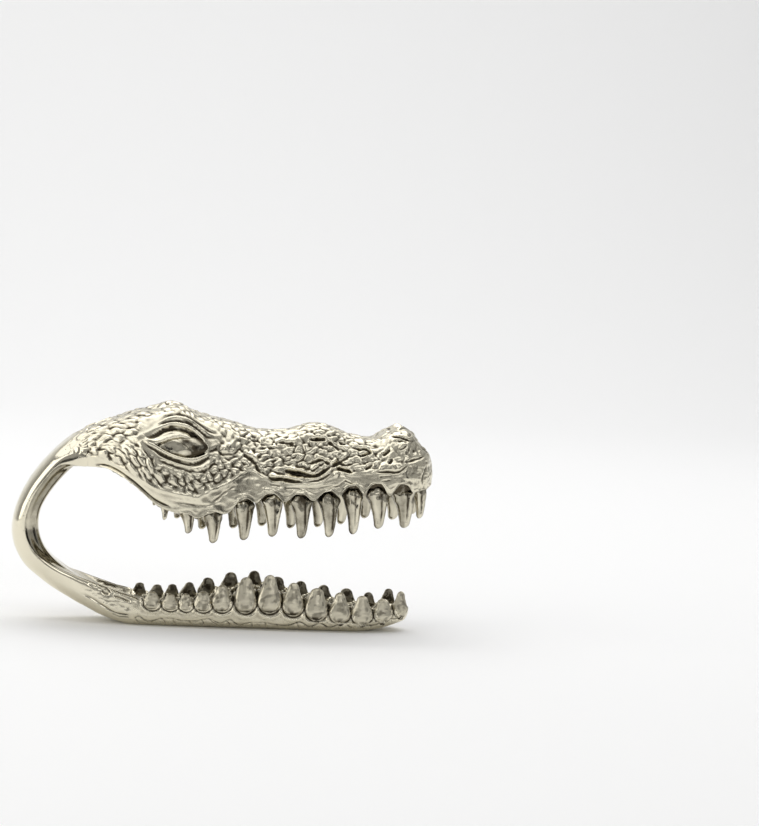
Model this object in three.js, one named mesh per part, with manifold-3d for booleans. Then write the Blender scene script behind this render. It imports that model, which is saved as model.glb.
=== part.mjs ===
// Crocodile-head spring clip in white brass: a hollow skull with the upper teeth, a toothed lower jaw, and the
// round-backed bow of metal that joins them behind and holds them apart, the way a cuff holds its two ends.
// Millimetres, +Z up. The snout points along +X, the head's left side is +Y, and the flat sole of the lower jaw
// rests on z = 0. The bow has no pivot pin: it bends at its back, so that is where its two arms meet.
import * as THREE from "three";
import { mergeVertices } from "three/addons/utils/BufferGeometryUtils.js";
import Module from "manifold-3d";

const wasm = await Module();
wasm.setup();

// Driving dimensions.
const SKULL_BACK = -18.6; // plane where the skull meets the bow
const JAW_BACK = -12.0; // plane where the lower jaw meets the bow
const JOINT_GAP = 0.3; // between two pieces that meet face to face
const SOCKET_GAP = 0.15; // round a tooth or an eye in its seat
const WALL = 1.4; // skull wall
const SOLE_HALF_WIDTH = 2.7;
const CENTRING = 0.45; // moves the middle of the clip's length over the origin
const SOLE_FRONT = 18; // where the sole starts to rise to the chin

// A smooth curve f(x) through [x, value] points: cubic Hermite pieces whose slope at a point is that of its two
// neighbours, held level beyond the ends.
function through(points) {
  const slope = points.map((_, i) => {
    const a = points[Math.max(i - 1, 0)];
    const b = points[Math.min(i + 1, points.length - 1)];
    return (b[1] - a[1]) / (b[0] - a[0]);
  });
  return (x) => {
    const last = points.length - 1;
    if (x <= points[0][0]) return points[0][1];
    if (x >= points[last][0]) return points[last][1];
    const i = points.findIndex((p, k) => k < last && x <= points[k + 1][0]);
    const [[x0, y0], [x1, y1]] = [points[i], points[i + 1]];
    const h = x1 - x0;
    const t = (x - x0) / h;
    const s = 1 - t;
    return s * s * ((1 + 2 * t) * y0 + t * h * slope[i]) + t * t * ((3 - 2 * t) * y1 - s * h * slope[i + 1]);
  };
}

// Skull, as curves along X.
const skullTop = through([
  [-18.6, 24.8], [-16, 25.9], [-13, 26.9], [-10, 27.3], [-7, 27.3], [-4, 27.0], [-1, 26.7], [3, 25.7],
  [7, 25.8], [11, 26.8], [15, 25.7], [18.4, 25.3], [20.5, 26.2], [22.4, 26.5], [24.2, 25.3], [25.8, 23.3], [26.6, 21.8],
]);
const lip = through([
  [-18.6, 20.2], [-16, 20.1], [-13, 18.5], [-10, 16.2], [-7, 15.1], [-4, 14.7], [-1, 15.4], [3, 16.8],
  [8, 17.0], [12, 17.4], [16, 18.2], [22, 18.3], [24.5, 18.5], [26, 19.6], [26.6, 20.8],
]);
const lipHalfWidth = through([
  [-18.6, 4.0], [-16, 5.2], [-13, 7.0], [-10, 8.0], [-7, 8.2], [-4, 8.0], [-1, 7.3], [3, 6.4], [7, 5.8],
  [11, 5.6], [15, 5.6], [19, 6.0], [22, 5.9], [24.5, 4.5], [26, 2.6], [26.6, 0.8],
]);
const cheekHalfWidth = through([
  [-18.6, 4.1], [-16, 5.5], [-13, 7.3], [-10, 8.1], [-7, 7.9], [-4, 7.5], [-1, 6.8], [3, 5.8], [7, 5.2],
  [11, 5.0], [15, 5.0], [19, 5.6], [22, 5.8], [24.5, 4.6], [26, 2.7], [26.6, 0.8],
]);
const browHalfWidth = through([
  [-18.6, 2.9], [-16, 3.9], [-13, 5.0], [-10, 5.7], [-7, 5.6], [-4, 5.0], [-1, 4.4], [3, 3.6], [7, 3.3],
  [11, 3.2], [15, 3.2], [19, 3.8], [22, 4.0], [24.5, 3.2], [26, 1.8], [26.6, 0.5],
]);
const browRise = through([
  [-14, 0], [-10.5, 0.5], [-7.5, 1.3], [-4.5, 0.4], [-1, -0.2], [18, -0.1], [21.5, 0.3], [24, 0],
]);
const cavityTop = through([
  [-16.6, 20.2], [-14, 21.8], [-11, 23.2], [-7, 23.9], [-2, 23.4], [3, 22.4], [8, 22.2], [12, 22.8],
  [16, 22.0], [19, 21.4], [20.8, 20.6],
]);

// Bow, seen from the side: its outer and inner edge from the skull round the back to the lower jaw, as [x, z].
const bowOuter = new THREE.SplineCurve([
  [-18.6, 24.8], [-20.7, 23.5], [-22.7, 21.7], [-24.8, 19.1], [-26.6, 15.9], [-27.5, 12.5], [-27.2, 9.7],
  [-25.8, 7.3], [-23.5, 5.3], [-20.5, 3.5], [-17.4, 1.9], [-14.5, 0.7], [-12, 0.1],
].map(([x, z]) => new THREE.Vector2(x, z)));
const bowInner = new THREE.SplineCurve([
  [-18.6, 20.2], [-20.2, 19.4], [-21.7, 18.1], [-23.0, 16.3], [-24.0, 14.1], [-24.1, 11.9], [-23.4, 10.0],
  [-22.1, 8.6], [-20.2, 7.4], [-18.0, 6.4], [-15.9, 5.4], [-13.9, 4.6], [-12, 4.1],
].map(([x, z]) => new THREE.Vector2(x, z)));
const bowHalfWidth = through([[0, 4.0], [0.2, 3.4], [0.42, 2.9], [0.7, 3.3], [1, 4.2]]);
const BOW_BACK = 5.03 / 12; // the share of the way round where the bow bends

// Lower jaw, as curves along X.
const jawHalfWidth = through([
  [-12, 4.2], [-8, 4.5], [0, 4.8], [8, 4.8], [14, 4.5], [18, 4.0], [21.5, 3.1], [23.6, 2.1], [24.6, 1.2],
]);
const jawRim = through([
  [-12, 3.8], [-9, 3.1], [-3, 3.1], [0, 4.0], [4, 4.9], [8.5, 4.3], [12, 3.7], [17, 3.1], [20, 2.8], [22.5, 3.3],
  [24.6, 3.4],
]);
const jawKeel = through([[SOLE_FRONT - 1, 0], [SOLE_FRONT, 0.03], [20, 0.3], [22, 0.8], [24.6, 1.7]]);

// Teeth on the right, from the back to the front. Upper: [x of the tip, z of the tip, radius].
const UPPER_TEETH = [
  [-8.8, 14.2, 0.55], [-5.7, 12.6, 0.85], [-2.4, 11.4, 1.05], [1.6, 11.8, 1.15], [5.3, 12.3, 1.15],
  [9.1, 12.2, 1.15], [12.7, 12.5, 1.1], [15.8, 13.0, 1.1], [19.0, 13.9, 1.15], [22.6, 14.0, 1.25], [24.9, 15.1, 0.85],
];
// Lower: [x, z of the base, z of the tip, radius].
const LOWER_TEETH = [
  [-9.4, 2.5, 4.5, 0.8], [-7.1, 2.5, 4.3, 0.8], [-5.1, 2.5, 4.4, 0.7], [-2.9, 2.5, 4.8, 0.85], [-0.5, 2.6, 5.7, 0.95],
  [2.5, 2.6, 6.8, 1.05], [5.6, 2.7, 7.2, 1.15], [8.7, 2.4, 6.3, 1.05], [11.8, 1.9, 5.7, 1.1], [14.9, 1.6, 5.2, 1.05],
  [17.9, 1.4, 4.8, 1.05], [20.8, 1.7, 4.4, 0.95], [23.3, 2.2, 5.3, 0.75],
];
const LEFT_TEETH_BACK = 1.0; // the left lower row stands this much further back than the right
const LEFT_TEETH_LOW = 0.25; // and its teeth rise this share less over the low ones at the back

// A closed body through planar rings of equally many points, its two ends capped from their middles.
function loft(rings) {
  const n = rings[0].length;
  const first = new THREE.Vector3();
  const last = new THREE.Vector3();
  rings[0].forEach((p) => first.addScaledVector(p, 1 / n));
  rings.at(-1).forEach((p) => last.addScaledVector(p, 1 / n));
  const points = [...rings.flat(), first, last];
  const faces = [];
  for (let r = 0; r < rings.length - 1; r++)
    for (let i = 0; i < n; i++) {
      const a = r * n + i;
      const b = r * n + ((i + 1) % n);
      faces.push(a, b, a + n, b, b + n, a + n);
    }
  for (let i = 0; i < n; i++) {
    const j = (i + 1) % n;
    faces.push(points.length - 2, j, i);
    faces.push(points.length - 1, (rings.length - 1) * n + i, (rings.length - 1) * n + j);
  }
  return new THREE.BufferGeometry().setFromPoints(points).setIndex(faces);
}

// A geometry as a manifold-3d solid, turned to face out.
function solid(geometry) {
  const g = (geometry.index ? geometry.toNonIndexed() : geometry).clone();
  g.deleteAttribute("normal");
  g.deleteAttribute("uv");
  const merged = mergeVertices(g, 1e-4);
  const p = merged.attributes.position.array;
  const triangles = [];
  for (let i = 0; i < merged.index.count; i += 3) {
    const [a, b, c] = merged.index.array.subarray(i, i + 3);
    if (a !== b && b !== c && c !== a) triangles.push([a, b, c]);
  }
  const corner = (i) => new THREE.Vector3().fromArray(p, 3 * i);
  const volume = triangles.reduce((v, [a, b, c]) => v + corner(a).dot(corner(b).cross(corner(c))), 0);
  const facingOut = volume < 0 ? triangles.map(([a, b, c]) => [a, c, b]) : triangles;
  return new wasm.Manifold(
    new wasm.Mesh({ numProp: 3, vertProperties: p, triVerts: new Uint32Array(facingOut.flat()) }),
  );
}

function geometryOf(made) {
  const m = made.getMesh();
  return new THREE.BufferGeometry()
    .setAttribute("position", new THREE.BufferAttribute(m.vertProperties, 3))
    .setIndex(new THREE.BufferAttribute(m.triVerts, 1));
}

const whiteBrass = new THREE.MeshStandardMaterial({ color: 0xc2bca6, roughness: 0.18, metalness: 1 });
const satinBrass = new THREE.MeshStandardMaterial({ color: 0xa39d88, roughness: 0.38, metalness: 1 });
const toothBrass = new THREE.MeshStandardMaterial({ color: 0xb0aa95, roughness: 0.28, metalness: 1 });

function named(name, made, material) {
  const mesh = new THREE.Mesh(geometryOf(made), material);
  mesh.name = name;
  return mesh;
}

// The skull's outside at x: an arch from the right lip over both brows to the left lip, closed under the palate.
function skullRing(x) {
  const top = skullTop(x);
  const low = lip(x);
  const rise = top - low;
  const brow = top + browRise(x);
  const arch = new THREE.SplineCurve([
    [-lipHalfWidth(x), low],
    [-cheekHalfWidth(x), low + 0.42 * rise],
    [-browHalfWidth(x), low + 0.86 * (brow - low)],
    [-0.55 * browHalfWidth(x), brow - 0.01 * rise],
    [0, top - 0.25 * browRise(x)],
    [0.55 * browHalfWidth(x), brow - 0.01 * rise],
    [browHalfWidth(x), low + 0.86 * (brow - low)],
    [cheekHalfWidth(x), low + 0.42 * rise],
    [lipHalfWidth(x), low],
  ].map(([y, z]) => new THREE.Vector2(y, z)));
  return arch.getPoints(24).map((p) => new THREE.Vector3(x, p.x, p.y));
}

// The hollow under the skull at x: a plain arch one wall inside the outside, open below.
function cavityRing(x) {
  const half = Math.max(Math.min(lipHalfWidth(x), cheekHalfWidth(x)) - WALL, 0.6);
  const floor = lip(x) - 3;
  const ring = [new THREE.Vector3(x, -half, floor)];
  for (let i = 0; i <= 10; i++) {
    const turn = Math.PI * (1 - i / 10);
    const height = (cavityTop(x) - lip(x) + 0.6) * Math.sqrt(Math.sin(turn));
    ring.push(new THREE.Vector3(x, half * Math.cos(turn), lip(x) - 0.6 + height));
  }
  ring.push(new THREE.Vector3(x, half, floor));
  return ring;
}

const stations = (from, to, count) => Array.from({ length: count }, (_, i) => from + ((to - from) * i) / (count - 1));

// Half outlines of a tooth, as [share of its radius, share of its length].
const FANG = [[0, 0], [0.9, 0.02], [1, 0.22], [0.9, 0.45], [0.7, 0.75], [0.48, 0.93], [0, 1]];
const PETAL = [[0, 0], [0.6, 0.03], [0.95, 0.2], [1, 0.42], [0.78, 0.7], [0.42, 0.94], [0, 1]];

// A tooth: half an outline turned about the line from root to tip, flattened across, and bent forward at its middle.
// grow widens it all round, for the seat it stands in.
function toothSolid({ profile, root, tip, radius, flat, bow, grow = 0 }) {
  const axis = tip.clone().sub(root);
  const length = axis.length();
  const outline = profile.map(
    ([r, t]) => new THREE.Vector2(r ? r * radius + grow : 0, t * (length + 2 * grow) - grow),
  );
  const g = new THREE.LatheGeometry(outline, 8);
  const along = axis.normalize();
  const lean = new THREE.Vector3(1, 0, 0).addScaledVector(along, -along.x).normalize();
  const across = new THREE.Vector3().crossVectors(along, lean);
  const position = g.attributes.position;
  for (let i = 0; i < position.count; i++) {
    const t = position.getY(i) / length;
    const bend = 4 * bow * t * (1 - t);
    const p = root.clone()
      .addScaledVector(along, position.getY(i))
      .addScaledVector(lean, position.getX(i) + bend)
      .addScaledVector(across, flat * position.getZ(i));
    position.setXYZ(i, p.x, p.y, p.z);
  }
  return solid(g);
}

// side is -1 on the right and 1 on the left.
function upperTooth([x, z, radius], side, grow) {
  const rootX = x - 0.6;
  const lipY = Math.min(lipHalfWidth(rootX), lipHalfWidth(x + radius));
  return toothSolid({
    profile: FANG,
    root: new THREE.Vector3(rootX, side * (lipY - 1.35), lip(rootX) + 1.2),
    tip: new THREE.Vector3(x, side * (lipY - 0.75), z),
    radius,
    flat: 0.85,
    bow: 0.25,
    grow,
  });
}

function lowerTooth([x, base, tip, radius], side, grow) {
  const placed = x - (side > 0 ? LEFT_TEETH_BACK : 0);
  const top = tip - (side > 0 ? LEFT_TEETH_LOW * Math.max(tip - LOWER_TEETH[0][2], 0) : 0);
  return toothSolid({
    profile: PETAL,
    root: new THREE.Vector3(placed - 0.1, side * (jawHalfWidth(placed) - 0.3), base),
    tip: new THREE.Vector3(placed, side * (jawHalfWidth(placed) - 0.9), top),
    radius,
    flat: 0.6,
    bow: 0,
    grow,
  });
}

const EYE = { x: -6.6, y: 7.0, z: 23.4, long: 2.5, deep: 1.0, tall: 1.35 };

function eyeSolid(side, grow = 0) {
  const ball = new THREE.SphereGeometry(1, 14, 10);
  ball.scale(EYE.long + grow, EYE.deep + grow, EYE.tall + grow);
  ball.rotateX(side * 0.35);
  ball.translate(EYE.x, side * EYE.y, EYE.z);
  return solid(ball);
}

function skullSolid() {
  const outside = solid(loft([...stations(SKULL_BACK + JOINT_GAP, 24.5, 34), 25.3, 26, 26.4, 26.6].map(skullRing)));
  const hollow = solid(loft(stations(-16.6, 20.8, 18).map(cavityRing)));
  let shell = outside.subtract(hollow);
  for (const side of [-1, 1]) {
    shell = shell.subtract(eyeSolid(side, SOCKET_GAP));
    for (const tooth of UPPER_TEETH) shell = shell.subtract(upperTooth(tooth, side, SOCKET_GAP));
  }
  return shell;
}

// The bow between two shares of its way round: each section is an oval between the outer and the inner edge.
function bowSolid(from, to, count) {
  const corners = 14;
  return solid(loft(stations(from, to, count).map((t) => {
    const out = bowOuter.getPoint(t);
    const inside = bowInner.getPoint(t);
    return Array.from({ length: corners }, (_, i) => {
      const turn = (2 * Math.PI * (i + 0.5)) / corners;
      const square = (v) => Math.sign(v) * Math.abs(v) ** 0.8;
      const share = 0.5 + 0.5 * square(Math.cos(turn));
      const x = out.x + (inside.x - out.x) * share;
      const z = out.y + (inside.y - out.y) * share;
      return new THREE.Vector3(x, bowHalfWidth(t) * square(Math.sin(turn)), z);
    });
  })));
}

// The lower jaw at x: flat sole, flared sides, and a rim.
function jawRing(x) {
  const half = jawHalfWidth(x);
  const sole = Math.min(SOLE_HALF_WIDTH, 0.6 * half);
  const low = jawKeel(x);
  const rim = jawRim(x);
  const side = [[sole, low], [0.86 * half, low + 0.7], [half, low + 1.6], [half - 0.1, rim - 0.3], [half - 0.6, rim]];
  const mirrored = side.map(([y, z]) => [-y, z]).reverse();
  return [...side, ...mirrored].map(([y, z]) => new THREE.Vector3(x, y, z));
}

// The bed between the two rows of teeth.
function bedRing(x) {
  const half = Math.max(jawHalfWidth(x) - 1.9, 0.3);
  const low = 2.2 + 0.25 * jawKeel(x);
  return [[-half, 9], [half, 9], [half, low + 0.5], [0.6 * half, low], [-0.6 * half, low], [-half, low + 0.5]]
    .map(([y, z]) => new THREE.Vector3(x, y, z));
}

function jawSolid() {
  let jaw = solid(loft([...stations(JAW_BACK + JOINT_GAP, SOLE_FRONT, 16), 19.3, 20.7, 22, 23, 23.9, 24.6].map(jawRing)));
  jaw = jaw.subtract(solid(loft(stations(-9.5, 21.8, 14).map(bedRing))));
  for (const side of [-1, 1])
    for (const tooth of LOWER_TEETH) jaw = jaw.subtract(lowerTooth(tooth, side, SOCKET_GAP));
  return jaw;
}

const SIDES = [["right", -1], ["left", 1]];
const number = (i) => String(i + 1).padStart(2, "0");
const clip = new THREE.Group();

const head = new THREE.Group();
head.add(named("skull_shell", skullSolid(), whiteBrass));
head.add(named("bow_upper_arm", bowSolid(0, BOW_BACK - 0.0048, 12), whiteBrass));
for (const [word, side] of SIDES) {
  head.add(named(`eye_${word}`, eyeSolid(side), toothBrass));
  UPPER_TEETH.forEach((tooth, i) => head.add(named(`upper_tooth_${word}_${number(i)}`, upperTooth(tooth, side), toothBrass)));
}

const lowerJaw = new THREE.Group();
lowerJaw.add(named("mandible", jawSolid(), satinBrass));
lowerJaw.add(named("bow_lower_arm", bowSolid(BOW_BACK + 0.0048, 1, 15), whiteBrass));
for (const [word, side] of SIDES)
  LOWER_TEETH.forEach((tooth, i) => lowerJaw.add(named(`lower_tooth_${word}_${number(i)}`, lowerTooth(tooth, side), satinBrass)));

clip.add(head, lowerJaw);
clip.position.x = CENTRING;
export default clip;
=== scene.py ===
"""A crocodile-head spring clip in cast white brass, carved over a hollow skull.

Every piece is worked out in millimetres in the sculptor's frame: the snout along +X, the head's left side
+Y, up +Z, and the flat sole of the lower jaw on z = 0. CENTRING then moves the middle of the clip's length
over the origin.
"""
import math

import bpy
import numpy as np
from mathutils import Matrix, Vector


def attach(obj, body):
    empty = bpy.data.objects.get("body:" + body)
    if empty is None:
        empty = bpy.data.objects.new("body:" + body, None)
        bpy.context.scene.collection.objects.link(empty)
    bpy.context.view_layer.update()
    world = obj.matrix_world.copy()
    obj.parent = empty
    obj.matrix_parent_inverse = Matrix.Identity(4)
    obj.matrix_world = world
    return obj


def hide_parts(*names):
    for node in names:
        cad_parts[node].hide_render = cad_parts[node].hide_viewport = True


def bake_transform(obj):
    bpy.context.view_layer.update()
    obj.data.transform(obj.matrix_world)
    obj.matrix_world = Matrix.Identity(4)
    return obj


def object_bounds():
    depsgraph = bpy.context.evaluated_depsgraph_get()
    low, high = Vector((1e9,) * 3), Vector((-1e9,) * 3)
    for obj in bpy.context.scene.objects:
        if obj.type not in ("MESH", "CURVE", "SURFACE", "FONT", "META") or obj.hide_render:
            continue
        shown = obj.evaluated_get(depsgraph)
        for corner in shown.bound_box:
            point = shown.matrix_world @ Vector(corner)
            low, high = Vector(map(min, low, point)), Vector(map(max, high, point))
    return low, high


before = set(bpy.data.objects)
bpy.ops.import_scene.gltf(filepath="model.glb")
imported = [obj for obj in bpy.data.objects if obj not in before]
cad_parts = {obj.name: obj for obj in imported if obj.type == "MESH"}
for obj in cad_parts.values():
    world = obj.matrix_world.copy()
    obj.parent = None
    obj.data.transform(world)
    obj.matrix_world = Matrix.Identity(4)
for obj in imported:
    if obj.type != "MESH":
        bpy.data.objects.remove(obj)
CAD_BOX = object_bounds()

MM = 0.001
CENTRING = 0.45
SIDES = (("right", -1), ("left", 1))

# ---------------------------------------------------------------- plain mathematics


def curve(points):
    """f(x) through [x, value] points: cubic Hermite pieces whose slope at a point is that of the line
    between its two neighbours, held level beyond the ends."""
    at, value = np.array(points, float).T
    before = np.maximum(np.arange(len(at)) - 1, 0)
    after = np.minimum(np.arange(len(at)) + 1, len(at) - 1)
    slope = (value[after] - value[before]) / (at[after] - at[before])

    def f(x):
        x = np.clip(x, at[0], at[-1])
        i = np.clip(np.searchsorted(at, x) - 1, 0, len(at) - 2)
        h = at[i + 1] - at[i]
        t = (x - at[i]) / h
        s = 1 - t
        start = s * s * ((1 + 2 * t) * value[i] + t * h * slope[i])
        return start + t * t * ((3 - 2 * t) * value[i + 1] - s * h * slope[i + 1])

    return f


def spline(control, place):
    """Uniform Catmull-Rom cubic along the last axis of control, at index positions place: four neighbouring
    values weighted by cubics of the fraction, with the end values held."""
    last = control.shape[-1] - 1
    k = np.clip(np.floor(place).astype(int), 0, last - 1)
    t = place - k
    a, b = control[..., np.maximum(k - 1, 0)], control[..., k]
    c, d = control[..., k + 1], control[..., np.minimum(k + 2, last)]
    return b + t * (c - a) / 2 + t**2 * (a - 2.5 * b + 2 * c - d / 2) + t**3 * (1.5 * (b - c) + (d - a) / 2)


def sections(x, y, z, place):
    """Points of the sections at stations x: the splines through each section's y and z at index positions
    place."""
    along = np.broadcast_to(x[:, None], (len(x), len(place)))
    return np.stack([along, spline(y, place), spline(z, place)], -1)


def smooth(low, high, x):
    """0 below low, 1 above high, and 3t^2 - 2t^3 between."""
    t = np.clip((x - low) / (high - low), 0, 1)
    return t * t * (3 - 2 * t)


def stretch(rise_from, rise_to, fall_from, fall_to, x):
    """1 along a stretch of x and 0 beyond it, with a smooth rise at its low end and a smooth fall at its
    high end."""
    return smooth(rise_from, rise_to, x) * (1 - smooth(fall_from, fall_to, x))


def hill(x, width):
    """A bell: e to the power of minus (x / width) squared."""
    return np.exp(-((x / width) ** 2))


def chance(i, j, k, seed):
    """A number from 0 to 1 for each whole-number cell: the fraction of a large sine of a weighted sum of i,
    j, k."""
    n = np.sin(i * 127.1 + j * 311.7 + k * 74.7 + seed * 53.3) * 43758.5453
    return n - np.floor(n)


TILT = np.array([[0.80, 0.48, -0.36], [-0.60, 0.64, -0.48], [0.0, 0.60, 0.80]])


def noise(p, seed=0):
    """Smooth random height from -1 to 1 at points p, first turned so that the cells lie askew: the eight
    corner values of the unit cell round each point, weighted by 6t^5 - 15t^4 + 10t^3 of its fractions."""
    p = p @ TILT
    cell = np.floor(p)
    t = p - cell
    t = t**3 * (10 - 15 * t + 6 * t * t)
    total = 0
    for corner in range(8):
        step = np.array([corner & 1, corner >> 1 & 1, corner >> 2 & 1])
        weight = np.prod(np.where(step == 1, t, 1 - t), axis=-1)
        total = total + weight * chance(*np.moveaxis(cell + step, -1, 0), seed)
    return 2 * total - 1


def rough(p, octaves, seed=0):
    """Noise added at doubled frequency and halved height, octaves times."""
    return sum(noise(p * 2**n, seed + n) / 2**n for n in range(octaves))


def scales(u, v, seed, jitter=0.75):
    """Irregular tiles on the (u, v) plane, one to a unit cell: each cell holds one random point, and a
    place belongs to the nearest. Returns how far inside its tile each place is (second nearest distance
    less nearest), the nearest distance, a random number for the tile, and how far across its tile the place
    is."""
    near = np.full(u.shape, 9.0)
    second = np.full(u.shape, 9.0)
    tile, across = np.zeros(u.shape), np.zeros(u.shape)
    i, j = np.floor(u), np.floor(v)
    for di in (-1, 0, 1):
        for dj in (-1, 0, 1):
            a, b = i + di, j + dj
            pu = a + 0.5 + jitter * (chance(a, b, 1, seed) - 0.5)
            pv = b + 0.5 + jitter * (chance(a, b, 2, seed) - 0.5)
            d = np.hypot(u - pu, v - pv)
            closer = d < near
            second = np.where(closer, near, np.minimum(second, d))
            tile = np.where(closer, chance(a, b, 3, seed), tile)
            across = np.where(closer, v - pv + (chance(a, b, 4, seed) - 0.5) * (u - pu), across)
            near = np.where(closer, d, near)
    return second - near, near, tile, across


def turned(u, v, degrees, long, wide):
    """The plane turned by degrees and measured in tiles of long by wide."""
    c, s = math.cos(math.radians(degrees)), math.sin(math.radians(degrees))
    return (u * c + v * s) / long, (v * c - u * s) / wide


def from_line(u, v, points):
    """Distance from each place of the (u, v) plane to a smooth line through points, the share of the line
    passed where it is nearest, and which hand of the line the place is on (1 left, -1 right): the line is
    cut into short straight stretches, and each distance is to the foot of the perpendicular, kept between a
    stretch's ends. Places more than 2 outside the line's box are left far away."""
    control = np.array(points, float).T
    place = np.linspace(0, len(points) - 1, 6 * (len(points) - 1) + 1)
    line = spline(control, place).T
    low, high = line.min(0) - 2, line.max(0) + 2
    close = (u > low[0]) & (u < high[0]) & (v > low[1]) & (v < high[1])
    a, b = u[close], v[close]
    best = np.full(a.shape, 99.0)
    along, hand = np.zeros(a.shape), np.zeros(a.shape)
    for n, (p, q) in enumerate(zip(line[:-1], line[1:])):
        step = q - p
        t = np.clip(((a - p[0]) * step[0] + (b - p[1]) * step[1]) / (step @ step), 0, 1)
        d = np.hypot(a - p[0] - t * step[0], b - p[1] - t * step[1])
        nearer = d < best
        along = np.where(nearer, (n + t) / (len(line) - 1), along)
        hand = np.where(nearer, np.sign(step[0] * (b - p[1]) - step[1] * (a - p[0])), hand)
        best = np.where(nearer, d, best)
    distance, share, side = np.full(u.shape, 99.0), np.zeros(u.shape), np.zeros(u.shape)
    distance[close], share[close], side[close] = best, along, hand
    return distance, share, side


def blurred(field, reach):
    """A field on a grid averaged with its neighbours: the mean of the place, two rows and two columns,
    reach times."""
    for _ in range(reach):
        padded = np.pad(field, 1, mode="edge")
        sides = padded[:-2, 1:-1] + padded[2:, 1:-1] + padded[1:-1, :-2] + padded[1:-1, 2:]
        field = (2 * field + sides) / 6
    return field


def outward(grid):
    """Unit normals of a grid of points: the cross product of the differences along its two directions,
    turned as a whole so that they lead away from the middles of the rows."""
    n = np.cross(np.gradient(grid, axis=1), np.gradient(grid, axis=0))
    n /= np.maximum(np.linalg.norm(n, axis=-1, keepdims=True), 1e-9)
    return n * np.sign(np.sum(n * (grid - grid.mean(axis=1, keepdims=True))))


def carved(height, reach, depth):
    """How dark a place on a carved surface is, from 0 to 1: how far it lies under the average of its
    neighbourhood, as a share of depth."""
    return np.clip((blurred(height, reach) - height) / depth, 0, 1)


# ---------------------------------------------------------------- meshes


def placed(name, data):
    """A new object with this data, in the scene."""
    thing = bpy.data.objects.new(name, data)
    bpy.context.scene.collection.objects.link(thing)
    return thing


def tube_mesh(name, rings, dark, worn=0.0, crisp=False, sink=(0.0, 0.0)):
    """A closed mesh through rings of points, each end closed by a fan to its middle, or to a point sink
    below it for a trough-shaped end, turned to face out by the sign of its volume. dark is the 0 to 1
    darkness of each point, patina mixed with painted shade and painted reflection where a piece paints
    them, and worn how much it is polished, kept as the attributes 'tarnish_and_shade' and 'worn'. crisp
    keeps the edges round the two closing fans sharp."""
    rows, columns = rings.shape[:2]
    index = np.arange(rows * columns).reshape(rows, columns)
    following = np.roll(index, -1, axis=1)
    quads = np.stack([index[:-1], following[:-1], following[1:], index[1:]], -1).reshape(-1, 4)
    hubs = rings[[0, -1]].mean(axis=1) - np.array([[0, 0, sink[0]], [0, 0, sink[1]]])
    points = np.concatenate([rings.reshape(-1, 3), hubs])
    worn = worn + 0 * dark
    first, last = rows * columns, rows * columns + 1
    start = np.stack([following[0], index[0], np.full(columns, first)], -1)
    end = np.stack([index[-1], following[-1], np.full(columns, last)], -1)
    corners = points[np.concatenate([quads[:, :3], quads[:, [0, 2, 3]], start, end])]
    volume = np.einsum("ij,ij->", corners[:, 0], np.cross(corners[:, 1], corners[:, 2]))
    faces = quads.tolist() + start.tolist() + end.tolist()
    if volume < 0:
        faces = [face[::-1] for face in faces]
    mesh = bpy.data.meshes.new(name)
    mesh.from_pydata(((points + [CENTRING, 0, 0]) * MM).tolist(), [], faces)
    mesh.polygons.foreach_set("use_smooth", np.ones(len(faces), bool))
    for kind, values in (("tarnish_and_shade", dark), ("worn", worn)):
        values = np.concatenate([values.ravel(), values[[0, -1]].mean(axis=1)])
        mesh.attributes.new(kind, "FLOAT", "POINT").data.foreach_set("value", values.astype(np.float32))
    if crisp:
        ends = np.empty(2 * len(mesh.edges), int)
        mesh.edges.foreach_get("vertices", ends)
        ends = ends.reshape(-1, 2)
        on_first, on_last = ends < columns, (ends >= (rows - 1) * columns) & (ends < first)
        sharp = on_first.all(1) | on_last.all(1)
        mesh.attributes.new("sharp_edge", "BOOLEAN", "EDGE").data.foreach_set("value", sharp)
    return placed(name, mesh)


def finished(piece, body, stands_for, material):
    """The piece with its metal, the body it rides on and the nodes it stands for."""
    piece.data.materials.append(material)
    if body:
        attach(piece, body)
    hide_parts(*stands_for)
    return piece


# ---------------------------------------------------------------- metal

# The dark end of the metal's colour: patina in the carved lines, and painted shade and painted reflection
# where a piece paints them.
TARNISH_AND_SHADE = (0.075, 0.062, 0.042)


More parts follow.
